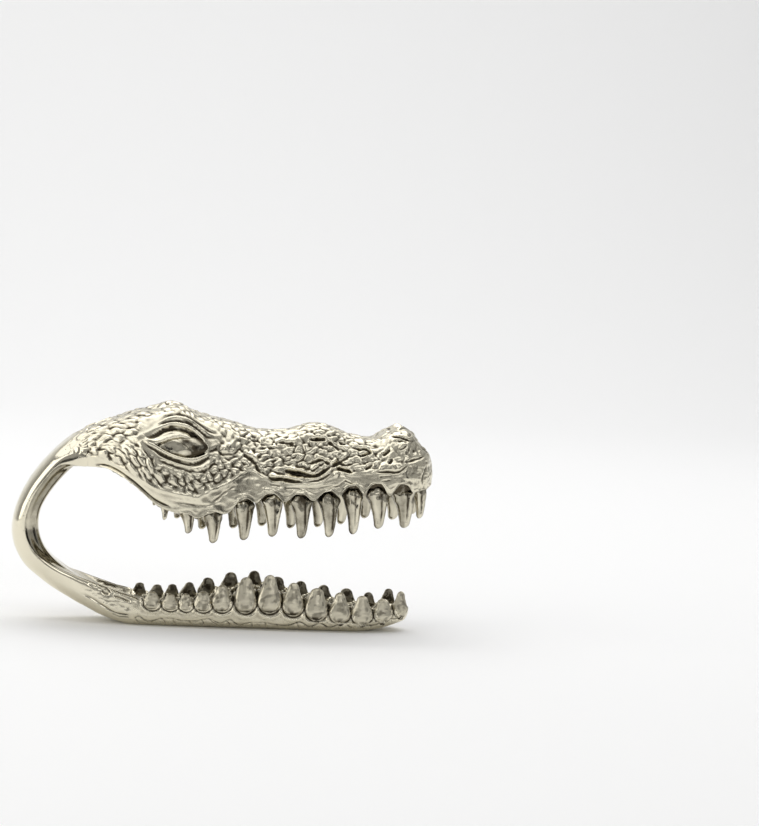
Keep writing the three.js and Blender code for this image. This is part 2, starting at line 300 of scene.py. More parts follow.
def white_brass(name, bright, shine, dull, grain, pits):
    """Cast white brass: bright where it was rubbed, dark with patina in the carved lines and with painted
    shade and painted reflection where a piece paints them, as the tarnish_and_shade attribute and a little
    noise say, with a fine skin of grain and scattered casting pits as bump, both in mm. shine and dull are
    the roughness of bare and of darkened metal, and worn places are about three times smoother."""
    material = bpy.data.materials.new(name)
    material.use_nodes = True
    nodes, links = material.node_tree.nodes, material.node_tree.links
    shader = nodes["Principled BSDF"]
    shader.inputs["Metallic"].default_value = 1.0
    place = nodes.new("ShaderNodeTexCoord")
    tarnish_and_shade, worn = nodes.new("ShaderNodeAttribute"), nodes.new("ShaderNodeAttribute")
    tarnish_and_shade.attribute_name, worn.attribute_name = "tarnish_and_shade", "worn"

    def cloud(scale, detail, roughness):
        """Noise from 0 to 1 in the object's own space, scale cells to the metre."""
        node = nodes.new("ShaderNodeTexNoise")
        node.inputs["Scale"].default_value = scale
        node.inputs["Detail"].default_value = detail
        node.inputs["Roughness"].default_value = roughness
        links.new(place.outputs["Object"], node.inputs["Vector"])
        return node.outputs["Fac"]

    def ranged(value, low, high, to_low, to_high):
        """A straight line from low, to_low to high, to_high, held level beyond."""
        node = nodes.new("ShaderNodeMapRange")
        limits = {"From Min": low, "From Max": high, "To Min": to_low, "To Max": to_high}
        for socket, number in limits.items():
            node.inputs[socket].default_value = number
        links.new(value, node.inputs["Value"])
        return node.outputs["Result"]

    def product(a, b):
        """a times b, kept from 0 to 1."""
        node = nodes.new("ShaderNodeMath")
        node.operation = "MULTIPLY"
        node.use_clamp = True
        links.new(a, node.inputs[0])
        links.new(b, node.inputs[1])
        return node.outputs[0]

    def bump(height, depth):
        """Relief from a height of 0 to 1, depth mm deep."""
        node = nodes.new("ShaderNodeBump")
        node.inputs["Strength"].default_value = 1.0
        node.inputs["Distance"].default_value = depth * MM
        links.new(height, node.inputs["Height"])
        return node

    blotch = ranged(cloud(900, 4, 0.6), 0.3, 0.7, 0.55, 1.25)
    amount = product(tarnish_and_shade.outputs["Fac"], blotch)
    colour = nodes.new("ShaderNodeValToRGB")
    colour.color_ramp.elements[0].color = (*bright, 1)
    colour.color_ramp.elements[1].color = (*TARNISH_AND_SHADE, 1)
    colour.color_ramp.elements[1].position = 0.75
    middle = colour.color_ramp.elements.new(0.3)
    middle.color = (*[0.6 * a + 0.4 * b for a, b in zip(bright, TARNISH_AND_SHADE)], 1)
    links.new(amount, colour.inputs["Fac"])
    links.new(colour.outputs["Color"], shader.inputs["Base Color"])
    sheen = ranged(cloud(2600, 3, 0.7), 0.3, 0.7, 0.8, 1.25)
    rubbed = ranged(worn.outputs["Fac"], 0, 1, 1.0, 0.35)
    plain_shine = product(ranged(amount, 0, 1, shine, dull), sheen)
    links.new(product(plain_shine, rubbed), shader.inputs["Roughness"])

    skin = bump(cloud(4200, 5, 0.65), grain)
    pit = bump(ranged(cloud(1900, 2, 0.5), 0.24, 0.36, 0, 1), pits)
    links.new(skin.outputs["Normal"], pit.inputs["Normal"])
    links.new(pit.outputs["Normal"], shader.inputs["Normal"])
    return material


BRIGHT, SATIN, DULL = (0.79, 0.74, 0.59), (0.82, 0.765, 0.605), (0.72, 0.67, 0.53)
CARVED = white_brass("carved_white_brass", BRIGHT, shine=0.22, dull=0.45, grain=0.005, pits=0.010)
JAW_METAL = white_brass("satin_white_brass", SATIN, shine=0.24, dull=0.5, grain=0.012, pits=0.02)
TOOTH_METAL = white_brass("tooth_white_brass", BRIGHT, shine=0.08, dull=0.4, grain=0.006, pits=0.012)
PETAL_METAL = white_brass("petal_white_brass", DULL, shine=0.34, dull=0.5, grain=0.025, pits=0.045)

# ---------------------------------------------------------------- the skull

# The skull's ends, and its lines as [x, value]: heights of the crown's middle, of the lip's edge, of the
# brows over the crown and of the hollow's roof, and half widths at the lip, at the cheek and at the brow.
SKULL_BACK, NOSE = -18.6, 26.62
crown = curve([
    [-18.6, 24.8], [-16, 25.9], [-13, 26.9], [-10, 27.3], [-7, 27.3], [-4, 27.0], [-1, 26.7], [3, 25.7],
    [7, 25.8], [11, 26.8], [15, 25.7], [18.4, 25.3], [20.5, 26.2], [22.4, 26.5], [24.2, 25.3], [25.6, 23.5],
    [26.3, 22.5], [26.62, 21.6],
])
lip_edge = curve([
    [-18.6, 20.2], [-16, 20.1], [-13, 18.5], [-10, 16.2], [-7, 15.1], [-4, 14.7], [-1, 15.4], [3, 16.8],
    [8, 17.0], [12, 17.4], [16, 18.2], [22, 18.3], [24.5, 18.5], [26, 19.6], [26.4, 20.4], [26.62, 21.5],
])
lip_half = curve([
    [-18.6, 4.0], [-16, 5.2], [-13, 7.0], [-10, 8.0], [-7, 8.2], [-4, 8.0], [-1, 7.3], [3, 6.4], [7, 5.8],
    [11, 5.6], [15, 5.6], [19, 6.0], [22, 5.9], [24.5, 4.5], [25.6, 3.3], [26.3, 1.9], [26.62, 0.1],
])
cheek_half = curve([
    [-18.6, 4.1], [-16, 5.5], [-13, 7.3], [-10, 8.1], [-7, 7.9], [-4, 7.5], [-1, 6.8], [3, 5.8], [7, 5.2],
    [11, 5.0], [15, 5.0], [19, 5.6], [22, 5.8], [24.5, 4.6], [25.6, 3.4], [26.3, 2.0], [26.62, 0.1],
])
brow_half = curve([
    [-18.6, 2.9], [-16, 3.9], [-13, 5.0], [-10, 5.7], [-7, 5.6], [-4, 5.0], [-1, 4.4], [3, 3.6], [7, 3.3],
    [11, 3.2], [15, 3.2], [19, 3.8], [22, 4.0], [24.5, 3.2], [25.6, 2.3], [26.3, 1.3], [26.62, 0.1],
])
brow_rise = curve([
    [-14, 0], [-10.5, 0.5], [-7.5, 1.3], [-4.5, 0.4], [-1, -0.2], [18, -0.1], [21.5, 0.3], [24, 0],
])
hollow_top = curve([
    [-18.6, 20.9], [-16.6, 21.2], [-14, 22.2], [-11, 23.4], [-7, 24.0], [-2, 23.4], [3, 22.4], [8, 22.2],
    [12, 22.8], [16, 22.0], [19, 21.4], [21.5, 20.3], [23.5, 19.2], [26.62, 21.5],
])

# Upper teeth of one side, back to front: [x of the tip, z of the tip, radius].
UPPER_TEETH = [
    [-8.8, 14.2, 0.55], [-5.7, 12.6, 0.85], [-2.4, 11.4, 1.05], [1.6, 11.8, 1.15], [5.3, 12.3, 1.15],
    [9.1, 12.2, 1.15], [12.7, 12.5, 1.1], [15.8, 13.0, 1.1], [19.0, 13.9, 1.15], [22.6, 14.0, 1.25],
    [24.9, 15.1, 0.85],
]
ROOT_BACK = 0.6

# Where the smooth lip band ends and the carved hide begins: [x, height up the side from the lip].
band_top = curve([
    [-18.6, 1.4], [-16.5, 1.2], [-15, 1.0], [-13, 1.2], [-10.9, 2.0], [-8.6, 2.5], [-5.7, 2.8], [-4.6, 2.9],
    [-3.1, 3.7], [-1.2, 4.0], [0.8, 4.5], [2.3, 4.4], [3.4, 3.5], [4.3, 3.1], [6, 2.9], [8.7, 2.5],
    [11, 2.6], [12.3, 3.1], [14, 3.4], [15.2, 2.9], [17.5, 3.1], [20, 3.2], [21.4, 3.5], [22.3, 4.2],
    [24, 4.8], [26.6, 5.0],
])

# The edges of the two lids: [x, height up the side].
upper_lid = curve([
    [-11.4, 7.0], [-10.2, 7.7], [-8.8, 8.9], [-7.3, 9.65], [-6.3, 9.7], [-5.3, 9.3], [-4.5, 8.75],
    [-3.8, 8.35],
])
lower_lid = curve([
    [-11.4, 7.0], [-10.2, 7.4], [-9.2, 7.3], [-7.9, 7.25], [-6.5, 7.35], [-5.1, 7.75], [-3.8, 8.35],
])

# Carved lines on the side of the head: (half width, depth, [x, height up the side] points). A depth under
# zero is a raised fold.
FOLDS = [
    # brow and lids
    (0.28, 0.85, [(-11.9, 6.9), (-10.8, 8.2), (-9.6, 9.7), (-8.4, 10.6), (-7, 10.9),
                  (-6, 10.8), (-5.1, 10.2), (-4.3, 9.3), (-3.8, 8.6)]),
    (0.20, 0.50, [(-10.8, 8.9), (-9.7, 10.5), (-8.4, 11.5), (-7, 11.9),
                  (-5.8, 11.8), (-4.8, 11.2), (-3.8, 10.5), (-2.4, 10.1)]),
    (0.20, 0.22, [(-10.5, 10.2), (-9.2, 11.8), (-8, 12.5), (-6.5, 12.8),
                  (-5.2, 12.4), (-4, 11.6), (-3, 11.0), (-1.8, 10.6)]),
    (0.30, -0.36, [(-10.9, 8.5), (-9.6, 10.1), (-8.4, 11.1), (-7, 11.4),
                   (-5.9, 11.3), (-4.9, 10.8), (-3.9, 10.0), (-3.2, 9.3)]),
    (0.32, -0.34, [(-9.5, 11.2), (-8.2, 12.1), (-6.9, 12.4), (-5.4, 12.1), (-4.2, 11.3), (-3, 10.6)]),
    (0.30, 0.50, [(-5.6, 10.3), (-4.9, 9.8), (-4.3, 9.1), (-3.9, 8.5)]),
    (0.20, 0.60, [(-11.4, 6.3), (-10.6, 6.6), (-9.7, 6.6), (-8.4, 6.5), (-7.1, 6.5),
                  (-5.8, 6.6), (-4.7, 7.0), (-3.8, 7.6), (-3.1, 8.0)]),
    (0.18, 0.45, [(-10.5, 5.9), (-9.6, 5.7), (-8.7, 5.8), (-7.2, 5.8), (-5.6, 5.8),
                  (-4.7, 5.8), (-3.7, 6.2), (-2.8, 6.9), (-2.4, 7.5)]),
    (0.34, -0.24, [(-10.6, 6.2), (-9.2, 6.1), (-7.2, 6.1), (-5.6, 6.15),
                   (-4.4, 6.5), (-3.3, 7.2), (-2.7, 7.8)]),
    (0.24, 0.30, [(-3.7, 8.4), (-2.9, 8.6), (-2.2, 8.9)]),
    # fold in front of the eye
    (0.24, 0.40, [(-2.5, 8.6), (-2.0, 8.0), (-1.2, 7.6), (-0.3, 7.4), (0.5, 7.8), (1.0, 8.5)]),
    (0.22, 0.26, [(-2.3, 7.7), (-1.2, 7.0), (-0.2, 6.9), (0.7, 7.3), (1.4, 8.0)]),
    (0.75, -0.42, [(-2.0, 8.9), (-1.0, 8.7), (0.0, 8.8)]),
    # crease from the cheek to the lip
    (0.20, 0.45, [(0.4, 7.4), (1.3, 6.5), (2.5, 5.3), (3.0, 4.3), (3.5, 3.4)]),
    (0.30, -0.22, [(0.9, 7.5), (1.9, 6.6), (3.0, 5.5), (3.6, 4.4), (4.1, 3.5)]),
    # creases over the lip
    (0.20, 0.85, [(4.3, 3.05), (5, 2.8), (6, 2.85), (7.5, 2.6), (8.9, 2.45)]),
    (0.30, -0.42, [(4.2, 3.5), (5.2, 3.25), (6.4, 3.2), (7.6, 3.05), (8.8, 2.9)]),
    (0.22, 0.45, [(9.2, 2.45), (10.2, 2.5), (11, 2.6), (11.8, 2.95), (12.4, 3.4)]),
    (0.24, 0.95, [(6.1, 4.25), (7, 3.85), (8.3, 3.6), (9.6, 3.25),
                  (10.6, 3.2), (11.3, 3.6), (12, 4.0), (12.7, 4.5)]),
    (0.30, -0.40, [(6.3, 4.8), (7.2, 4.35), (8.5, 4.1), (9.5, 3.85)]),
    (0.18, 0.34, [(9.7, 3.6), (10.4, 4.1), (11.2, 4.6), (11.7, 4.9)]),
    (0.18, 0.30, [(10.2, 3.5), (11.0, 4.0), (11.9, 4.3)]),
    (0.20, 0.42, [(8.9, 4.6), (10, 5.0), (11, 5.25), (11.7, 5.0),
                  (12.4, 4.5), (13, 4.6), (13.5, 5.2), (14.2, 5.4)]),
    (0.20, 0.80, [(13.0, 4.1), (14.1, 3.5), (15.3, 2.9)]),
    (0.20, 0.50, [(12.3, 4.0), (13.2, 4.5), (14.1, 4.9), (14.9, 5.3)]),
    (0.20, 0.45, [(13.6, 4.5), (14.4, 4.1), (15.6, 4.2)]),
    (0.45, -0.25, [(12.9, 3.3), (13.5, 3.2)]),
    # snout
    (0.22, 0.80, [(9.7, 8.1), (10.6, 8.1), (12, 8.0)]),
    (0.20, 0.50, [(12.0, 7.8), (12.6, 7.2), (13.3, 6.7), (14.3, 6.1)]),
    (0.18, 0.36, [(13.6, 7.6), (14.4, 6.9)]),
    (0.20, 0.75, [(14.9, 6.2), (16.1, 6.25), (17.2, 6.1), (17.5, 5.7), (16.8, 5.4), (15.9, 5.2)]),
    (0.16, 0.30, [(1.2, 7.8), (2, 8.4), (2.9, 8.4), (3.3, 7.9), (3.9, 7.4), (5, 7.0)]),
    (0.18, 0.32, [(2.3, 6.8), (3.5, 7.1), (5, 7.0), (6.3, 7.0)]),
    (0.20, 0.30, [(5.7, 7.9), (6.6, 7.8), (7.8, 7.7)]),
    (0.28, -0.26, [(5.7, 8.3), (6.8, 8.3), (7.9, 8.0)]),
    (0.16, 0.28, [(4.2, 5.0), (5.3, 5.4), (6.0, 6.0)]),
    (0.16, 0.24, [(6.2, 5.2), (7.4, 5.6), (8.2, 6.3)]),
    (0.16, 0.22, [(7.6, 4.9), (8.8, 5.5), (9.2, 6.3)]),
    (0.20, 0.45, [(16.7, 3.3), (17.4, 3.7), (17.8, 4.2)]),
    # nose
    (0.20, 0.70, [(19.1, 5.3), (19.5, 5.7), (20.0, 6.3)]),
    (0.24, 0.45, [(17.7, 2.95), (18.6, 3.0), (19.6, 3.05), (20.6, 3.05),
                  (21.4, 3.3), (22.1, 3.9), (22.4, 4.4)]),
    (0.42, -0.34, [(18.0, 3.5), (19.4, 3.9), (20.6, 4.0), (21.6, 4.3)]),
    (0.22, 0.40, [(19.7, 4.1), (20.1, 4.5), (20.2, 5.0)]),
    (0.17, 0.60, [(20.3, 8.2), (21.3, 7.9), (22.1, 7.6), (22.9, 7.3)]),
    (0.18, 0.40, [(20.9, 7.4), (21.6, 7.4), (22.3, 7.1)]),
    (0.18, 0.35, [(21.1, 6.1), (21.7, 6.3), (22.2, 6.7)]),
    (0.20, 0.30, [(22.4, 4.4), (23.4, 4.8), (24.6, 5.0)]),
    (0.9, -0.30, [(21.2, 6.9), (22.6, 6.4)]),
    (0.24, 0.95, [(21.5, 9.5), (22.2, 10.1), (23.1, 10.1), (23.7, 9.5)]),
    (0.45, -0.34, [(21.3, 10.3), (22.3, 11.0), (23.5, 10.9), (24.2, 10.0)]),
    (0.20, 0.40, [(20.0, 9.4), (20.6, 10.3), (20.8, 11.4)]),
    (0.18, 0.35, [(23.4, 8.4), (24.3, 8.0), (25.1, 7.2)]),
    (0.16, 0.30, [(24.3, 6.6), (25.0, 5.9), (25.5, 4.9)]),
    (0.16, 0.28, [(24.6, 9.0), (25.3, 8.0), (25.8, 6.8)]),
]

# Faint lines along the lip band: the same, shallower.
LIP_LINES = [
    (0.13, 0.26, [(-18.0, 0.30), (-15, 0.35), (-12.5, 0.38), (-10, 0.45), (-8, 0.6)]),
    (0.10, 0.10, [(-9, 1.2), (-6, 1.5), (-3.6, 1.6), (-2, 2.4), (-0.4, 3.0)]),
    (0.10, 0.10, [(-4.2, 1.2), (-2.8, 1.6), (-1.5, 2.6), (0.2, 3.2)]),
    (0.10, 0.09, [(4.6, 2.1), (5.4, 2.05), (6.0, 1.9)]),
    (0.10, 0.09, [(6.4, 1.7), (7.6, 1.7), (8.8, 1.4)]),
    (0.10, 0.09, [(9.5, 1.6), (11, 1.5), (13, 1.8)]),
    (0.12, 0.12, [(11.8, 1.1), (13.4, 1.5), (14.6, 2.2)]),
    (0.14, 0.16, [(14.2, 2.1), (14.8, 1.6), (15.3, 1.1)]),
    (0.12, 0.12, [(18.6, 2.3), (19.4, 2.5), (20.2, 2.6)]),
    (0.12, 0.12, [(18.8, 1.7), (19.6, 1.9), (20.1, 2.1)]),
    (0.12, 0.12, [(24.6, 4.6), (24.9, 3.4), (24.5, 2.2), (24.6, 1.0)]),
]

# Bumps and, with a height under zero, dents: [x, height up the side, half length, half width, height].
BUMPS = [
    [24.9, 4.6, 1.5, 1.7, 0.30], [25.0, 8.2, 0.9, 1.0, -0.25], [12.6, 9.0, 1.6, 1.3, 0.28],
    [8.9, 8.6, 1.5, 1.2, 0.20],
]

# How high the arches of the lip are over the roots: [x, height].
arch_height = curve([
    [-8, 0.15], [-2, 0.6], [2, 0.95], [9, 0.95], [14, 1.15], [18.4, 1.5], [22, 1.55], [24, 0.5],
])


def skull_arches(x):
    """How far the lip is drawn up over the tooth nearest to x: flat over the root, with a smooth fall to
    the cusps."""
    rise = np.zeros_like(x)
    for tip, _, radius in UPPER_TEETH[1:]:
        rise = np.maximum(rise, smooth(1.0, 0.2, np.abs(x - tip + ROOT_BACK) / (1.60 * radius)))
    return rise * arch_height(x)


def skull_arch(x, place):
    """Points of the skull's outside at stations x: the Catmull-Rom arch from the right lip up over cheek
    and brow to the crown and down to the left lip, at index positions place from 0 to 8."""
    lip, top, brow = lip_edge(x), crown(x), crown(x) + brow_rise(x)
    rise = top - lip
    w, c, b = lip_half(x), cheek_half(x), brow_half(x)
    half_y = [w, c, b, 0.55 * b]
    half_z = [lip, lip + 0.42 * rise, lip + 0.86 * (brow - lip), brow - 0.01 * rise]
    y = np.stack([-v for v in half_y] + [0 * x] + half_y[::-1], -1)
    z = np.stack(half_z + [top - 0.25 * brow_rise(x)] + half_z[::-1], -1)
    return sections(x, y, z, place)


def skull_hollow(x, place):
    """Points of the skull's inside at stations x, from the left lip to the right: in under the lip's edge,
    down round the gum that holds the teeth, and up over a plain vault. place runs from 0 to 12."""
    lip = lip_edge(x)
    low = lip + skull_arches(x)
    w = lip_half(x)
    narrow = np.minimum(w, cheek_half(x))
    gum = stretch(-15, -9, 25.0, 26.4, x)
    thin = w * (1 - gum)
    vault = np.maximum(hollow_top(x), lip + 0.15)
    inner = np.maximum(narrow - 1.0 - 1.0 * gum, 0.08 * narrow)
    rise = np.maximum(vault - lip, 0)
    under_lip = [w - 0.3 * gum - 0.05 * thin, w - 0.5 * gum - 0.12 * thin, w - 1.1 * gum - 0.2 * thin]
    half_y = under_lip + [inner + 0.12, 0.92 * inner, 0.6 * inner]
    half_z = [low - 0.02, low + 0.45 * gum, lip + 0.25 * gum]
    half_z += [lip + up * rise for up in (0.2, 0.72, 0.95)]
    y = np.stack(half_y + [0 * x] + [-v for v in half_y[::-1]], -1)
    z = np.stack(half_z + [vault] + half_z[::-1], -1)
    return sections(x, y, z, place)


def hide(x, s, girth, p):
    """Height in mm of the carved hide over the skull's plain form, at x, s up the side from the lip, with
    girth the way from lip to crown. Tiles of four sizes and slants meet in soft borders, the snout is
    wrinkled by the level lines of a smooth noise, folds and creases are cut in or raised as bells across
    their lines, and the eye lies in an almond-shaped hollow with a lip round it."""
    wander = 0.30 * noise(p * 0.9, 5) + 0.14 * noise(p * 2.1, 9)
    u, v = x + wander, s + 0.30 * noise(p * 0.9, 7) + 0.14 * noise(p * 2.1, 11)
    hide_here = smooth(-0.05, 0.35, s - band_top(x))

    def tiles(degrees, long, wide, seed, groove, border=0.30, jitter=0.75, lean=0.0):
        """Raised tiles between grooves groove deep, each at its own height and leaning across."""
        inside, near, tile, across = scales(*turned(u, v, degrees, long, wide), seed, jitter)
        raised = smooth(0.0, border, inside)
        return groove * (raised - 1 + (0.45 * (tile - 0.5) + lean * across) * raised + 0.20 * (1 - near))

    a, b = turned(u, v, 40, 1, 1)
    long_fibre = noise(np.stack([a * 0.42, b * 1.7, 0 * a], -1), 15)
    fibre = long_fibre + 0.5 * noise(np.stack([a * 0.8, b * 3.1, 0 * a], -1), 16)
    neck = tiles(40, 2.3, 0.9, 1, 0.15, 0.30, 0.75, 0.9) - 0.16 * np.abs(fibre) + 0.05
    back_cheek = tiles(-28, 1.35, 1.0, 2, 0.21, 0.26, 0.6, 0.8) + 0.05 * rough(p * 1.7, 2, 25)
    front_cheek = tiles(-52, 1.15, 0.86, 3, 0.23, 0.24, 0.5, 0.8)
    swirl = rough(p * [0.55, 0.8, 0.9], 2, 17)
    lines = np.abs((swirl * 3.2 + s * 0.35) % 1 - 0.5)
    snout = tiles(14, 1.45, 1.05, 4, 0.15, 0.34, 0.8, 0.6)
    snout += 0.11 * rough(p * 1.2, 3, 19) - 0.05 * hill(lines, 0.12)
    top = tiles(0, 1.7, 1.2, 6, 0.11, 0.32, 0.75, 0.4) + 0.07 * rough(p * 1.3, 3, 23)
    neck_line = curve([[-18.6, 1.6], [-15, 2.4], [-12, 4.6], [-10, 6.5], [-8, 9]])(x)
    on_neck = smooth(0.4, 1.4, s - neck_line) * (1 - smooth(-11.0, -9.0, x))
    on_front = smooth(-8.8, -7.0, x) * (1 - smooth(0.6, 1.8, x - 0.3 * (s - 4)))
    on_snout = smooth(0.6, 1.8, x - 0.3 * (s - 4))
    texture = back_cheek * (1 - on_front - on_snout) + front_cheek * on_front + snout * on_snout
    texture = texture * (1 - on_neck) + neck * on_neck
    on_top = smooth(-2.6, -1.2, s - girth) * smooth(-13, -11, x)
    texture = texture * (1 - on_top) + top * on_top
    nose_calm = 1 - 0.55 * smooth(18.2, 20.0, x)
    brow_calm = smooth(7.4, 9.2, s + 0.25 * (x + 7)) * stretch(-13.0, -10.5, -0.5, 1.5, x)
    texture = texture * (1 - 0.45 * brow_calm * (1 - smooth(-3.4, -2.2, s - girth)))
    round_eye = np.hypot((x + 7.2) / 4.9, (s - 9.0 - 0.22 * (x + 7.2)) / 3.6)
    texture = texture * nose_calm * (0.08 + 0.92 * smooth(0.9, 1.2, round_eye))
    fade_back = smooth(-22.0, -17.0, x + 0.5 * noise(p * 0.6, 29))
    height = texture * hide_here * fade_back
    height += 0.05 * rough(p * 0.5, 2, 31) * smooth(-22, -18, x)
    height += 0.045 * rough(p * [0.8, 1.0, 2.0], 3, 33) * (1 - hide_here) * smooth(-10, -5, x)
    for at, up, long, wide, rise in BUMPS:
        height += rise * hill(np.hypot((x - at) / long, (s - up) / wide), 1)
    height += 0.10 * hill(s - band_top(x) + 0.25, 0.3) * stretch(-14, -10, 23, 25, x)

    for width, depth, line in FOLDS:
        away, along, hand = from_line(x + 0.25 * wander, s, line)
        fade = stretch(-0.04, 0.28, 0.72, 1.04, along)
        uneven = 1 + 0.25 * noise(p * 2.3, 41)
        height -= 0.66 * depth * fade * uneven * hill(away, width * (0.35 + 0.5 * fade))
        if depth > 0:
            lip_of_cut = hill(away - 1.7 * width, 0.9 * width) * smooth(-0.2, 0.2, hand * away)
            height += 0.24 * depth * fade * lip_of_cut
    for width, depth, line in LIP_LINES:
        away, along, _ = from_line(x, s, line)
        height -= depth * hill(away, width) * stretch(0, 0.2, 0.8, 1, along)

    open_eye = np.minimum(upper_lid(x) - s, s - lower_lid(x))
    height -= 0.9 * smooth(0.0, 0.28, open_eye)
    height += 0.30 * hill(open_eye + 0.20, 0.17) * stretch(-12.4, -11.0, -4.2, -3.4, x)
    height += 0.07 * rough(p * 1.3, 3, 43) * smooth(20.5, 22.5, x)
    return height


def side_length(points):
    """For rows of points from one lip over the crown to the other: the way from the nearer lip to each
    point, and half the row's length."""
    step = np.linalg.norm(np.diff(points, axis=1), axis=-1)
    run = np.concatenate([np.zeros((len(points), 1)), np.cumsum(step, axis=1)], axis=1)
    return np.minimum(run, run[:, -1:] - run), run[:, -1:] / 2


def skull():
    """The skull: its carved outside and plain hollow inside as one closed grid. The outside is moved along
    its normals by the hide's height; the inside keeps its plain form, lumpy round the gums."""
    t = np.linspace(0, 1, 376)
    x = SKULL_BACK + (NOSE - SKULL_BACK) * (1 - (1 - t) ** 1.25) ** 0.93
    half = curve([[0, 0], [0.34, 1], [0.68, 2], [0.84, 3], [1, 4]])(np.linspace(0, 1, 109))
    outside = skull_arch(x, np.concatenate([half, 8 - half[-2::-1]]))
    way = np.linspace(0, 1, 44)
    spread = curve([[0, 0], [0.22, 2], [0.36, 3.2], [0.5, 6], [0.64, 8.8], [0.78, 10], [1, 12]])
    inside = skull_hollow(x, spread(way))
    s, girth = side_length(outside)
    height = blurred(hide(outside[..., 0], s, girth, outside), 1) * smooth(0, 0.5, NOSE - outside[..., 0])
    moved = outside + outward(outside) * height[..., None]
    moved[..., 2] += skull_arches(x)[:, None] * (1 - smooth(0, 2.6, s)) ** 2
    off_ends = smooth(0, 3, NOSE - inside[..., 0]) * smooth(0, 2, inside[..., 0] - SKULL_BACK)
    gum = 0.16 * rough(inside * 1.3, 3, 51) * off_ends
    hollow = inside + np.stack([0 * gum, gum * np.sign(-inside[..., 1]) * 0.6, gum], -1)
    open_eye = np.minimum(upper_lid(outside[..., 0]) - s, s - lower_lid(outside[..., 0]))
    # Patina in the carved lines, and painted shade in the eye's socket round the eyeball.
    dark = np.maximum(carved(height, 12, 0.068) ** 0.85, 0.95 * smooth(0.02, 0.3, open_eye))
    # Painted shade inside the hollow: half dark all over, and nearly black near the lips from about x = -9
    # forward, the recess over the teeth.
    near_lip = hill(way - 0.13, 0.12) + hill(way - 0.87, 0.12)
    hollow_shade = np.clip(0.45 + 0.55 * near_lip * smooth(-14, -9, x)[:, None], 0, 1)
    rim = smooth(-9, -16, x)[:, None] * (1 - smooth(-0.2, 0.2, s - band_top(outside[..., 0])))
    rubbed = np.maximum(rim, smooth(-16.5, -20.5, x)[:, None])
    rings, dark = np.concatenate([moved, hollow], 1), np.concatenate([dark, hollow_shade], 1)
    worn = np.concatenate([rubbed, np.full(hollow_shade.shape, 0.5)], 1)
    piece = tube_mesh("carved_skull", rings, dark, worn, True)
    return finished(piece, "head", ["skull_shell"], CARVED)


# ---------------------------------------------------------------- eyes

EYE = (-7.1, 23.35)


def eye(word, side):
    """An eyeball: an egg pointed at both corners, leaning with the cheek, its cast skin dented by a slow
    noise and broken by a low slanting edge in front of the pupil."""
    a = np.linspace(0, np.pi, 72)[1:-1, None]
    b = np.linspace(0, 2 * np.pi, 96, endpoint=False)[None, :]
    along, up, out = np.cos(a) + 0 * b, np.sin(a) * np.sin(b), np.sin(a) * np.cos(b)
    p = np.stack([along * 1.9, up * 1.3, out + side * 4], -1)
    dents = rough(p * 1.5, 3, 21)
    break_line = along * 1.7 + up * 0.9 - 0.15
    height = 0.06 * dents + 0.05 * smooth(0.12, -0.12, break_line)
    height = height * smooth(0, 0.5, out)
    pointed = 1 - 0.25 * along**2
    lean_out, lean_up = math.cos(0.35), math.sin(0.35)
    reach, rise = (1.15 * out + height) * pointed, 1.62 * up * pointed + 0.12 * along
    y = side * (6.05 + reach * lean_out - rise * lean_up)
    rings = np.stack([EYE[0] + 3.5 * along, y, EYE[1] + reach * lean_up + rise * lean_out], -1)
    # Painted shade: the corners where the lids meet, the front of the ball past the slanting edge and a
    # dark line along that edge; the mottle over the dents is painted reflection.
    corner = smooth(0.60, 0.95, np.hypot(along, up * 1.05))
    dark = np.clip(0.14 + 0.28 * smooth(0.0, 0.3, break_line) + 0.35 * dents + 0.30 * hill(break_line, 0.08)
                   + 0.75 * corner, 0, 1)
    piece = tube_mesh(f"eyeball_{word}", rings, dark)
    return finished(piece, "head", [f"eye_{word}"], TOOTH_METAL)


# ---------------------------------------------------------------- teeth


def peg(root, tip, t, ring_x, ring_y, bow_forward):
    """Rings of a tooth at shares t of the way from root to tip: an oval of half sizes ring_x by ring_y at
    each level, in a plane square to the line from root to tip, moved forward by a parabola that is highest
    midway. The sideways half size is counted away from the middle of the head."""
    root, tip = np.array(root, float), np.array(tip, float)
    along = (tip - root) / np.linalg.norm(tip - root)
    lean = np.array([1.0, 0, 0]) - along * along[0]
    lean /= np.linalg.norm(lean)
    sideways = np.cross(along, lean)
    sideways *= np.sign(sideways[1] * root[1])
    t = t[..., None]
    middle = root + (tip - root) * t + lean * (4 * bow_forward * t * (1 - t))
    return middle + lean * ring_x[..., None] + sideways * ring_y[..., None]


# Half width of a fang as a share of its radius: [way from root to tip, share].
fang_taper = curve([
    [0, 0.3], [0.05, 0.66], [0.12, 0.95], [0.21, 1.13], [0.33, 1.05], [0.5, 0.86], [0.7, 0.67],
    [0.88, 0.52], [1, 0.45],
])


def round_tip(t, start):
    """1 up to start and then a quarter of an ellipse down to almost 0 at t = 1."""
    return np.sqrt(1 - np.clip((t - start) / (1 - start), 0, 0.9998) ** 2)


